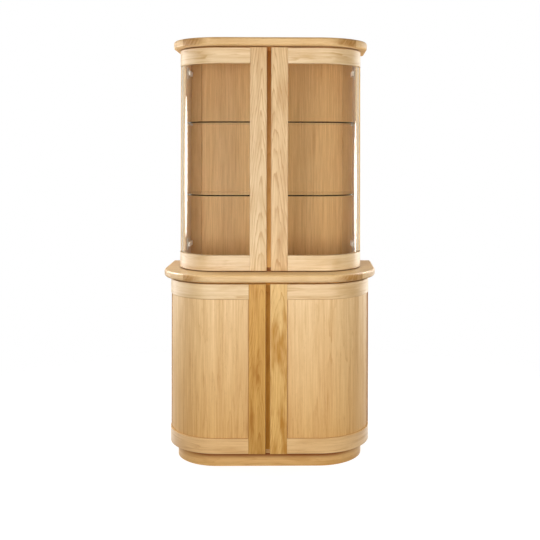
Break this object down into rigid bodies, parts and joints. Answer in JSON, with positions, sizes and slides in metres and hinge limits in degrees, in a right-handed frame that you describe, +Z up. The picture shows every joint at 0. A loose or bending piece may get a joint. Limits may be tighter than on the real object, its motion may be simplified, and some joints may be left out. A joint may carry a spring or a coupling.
{
  "type": "curved display cabinet",
  "caption": "Two-part oak display cabinet with rounded front corners: glazed bent-glass doors above, curved panelled doors below, on a recessed plinth.",
  "frame": {"origin": "middle of the cabinet's footprint, on the floor", "axes": "+Z up; the doors face -Y; +X is the cabinet's right side as seen from the front"},
  "size_m": [1, 0.52, 1.95],
  "materials": {
    "oak_frame": "satin lacquered light oak, grain along the piece",
    "oak_board": "satin lacquered light oak, soft edges",
    "oak_panel": "satin lacquered oak veneer, upright grain",
    "oak_carcase": "matt lacquered oak veneer",
    "bent_glass": "clear bent glass",
    "shelf_glass": "clear glass with dark green polished edges",
    "nickel": "nickel plated steel",
    "zinc": "zinc plated steel"
  },
  "bodies": {
    "cabinet": {"plinth_front": "oak_frame", "plinth_left_side": "oak_frame", "plinth_right_side": "oak_frame", "plinth_back": "oak_carcase", "plinth_cross_rail": "oak_carcase", "lower_bottom_panel": "oak_carcase", "lower_top_panel": "oak_carcase", "lower_left_side": "oak_frame", "lower_right_side": "oak_frame", "lower_back_panel": "oak_carcase", "lower_centre_post": "oak_carcase", "lower_shelf": "oak_carcase", "lower_shelf_pins": "zinc", "worktop": "oak_board", "upper_bottom_panel": "oak_carcase", "upper_top_panel": "oak_carcase", "upper_left_side": "oak_frame", "upper_right_side": "oak_frame", "upper_back_panel": "oak_carcase", "upper_rear_battens": "oak_carcase", "upper_centre_post": "oak_carcase", "lower_glass_shelf": "shelf_glass", "upper_glass_shelf": "shelf_glass", "glass_shelf_pins": "zinc", "crown_top": "oak_board", "assembly_screws": "zinc", "lower_hinge_arms": "nickel", "upper_hinge_arms": "nickel", "lower_hinge_plates": "nickel", "upper_hinge_plates": "nickel", "lower_magnets": "zinc", "upper_magnets": "zinc"},
    "lower_left_door": {"lower_left_centre_stile": "oak_frame", "lower_left_hinge_stile": "oak_frame", "lower_left_top_rail": "oak_frame", "lower_left_bottom_rail": "oak_frame", "lower_left_panel": "oak_panel", "lower_left_hinge_cups": "nickel", "lower_left_strike_plates": "zinc"},
    "lower_right_door": {"lower_right_centre_stile": "oak_frame", "lower_right_hinge_stile": "oak_frame", "lower_right_top_rail": "oak_frame", "lower_right_bottom_rail": "oak_frame", "lower_right_panel": "oak_panel", "lower_right_hinge_cups": "nickel", "lower_right_strike_plates": "zinc"},
    "upper_left_door": {"upper_left_centre_stile": "oak_frame", "upper_left_hinge_stile": "oak_frame", "upper_left_top_rail": "oak_frame", "upper_left_bottom_rail": "oak_frame", "upper_left_glass": "bent_glass", "upper_left_hinge_cups": "nickel", "upper_left_strike_plates": "zinc"},
    "upper_right_door": {"upper_right_centre_stile": "oak_frame", "upper_right_hinge_stile": "oak_frame", "upper_right_top_rail": "oak_frame", "upper_right_bottom_rail": "oak_frame", "upper_right_glass": "bent_glass", "upper_right_hinge_cups": "nickel", "upper_right_strike_plates": "zinc"}
  },
  "joints": [
    {"name": "lower_left_door_hinge", "type": "hinge", "parent": "cabinet", "child": "lower_left_door", "pos_m": [-0.469, 0.0935, 0.451], "axis": [0, 0, -1], "range_deg": [0, 95]},
    {"name": "lower_right_door_hinge", "type": "hinge", "parent": "cabinet", "child": "lower_right_door", "pos_m": [0.469, 0.0935, 0.451], "axis": [0, 0, 1], "range_deg": [0, 95]},
    {"name": "upper_left_door_hinge", "type": "hinge", "parent": "cabinet", "child": "upper_left_door", "pos_m": [-0.433, 0.1325, 1.393], "axis": [0, 0, -1], "range_deg": [0, 95]},
    {"name": "upper_right_door_hinge", "type": "hinge", "parent": "cabinet", "child": "upper_right_door", "pos_m": [0.433, 0.1325, 1.393], "axis": [0, 0, 1], "range_deg": [0, 95]}
  ]
}
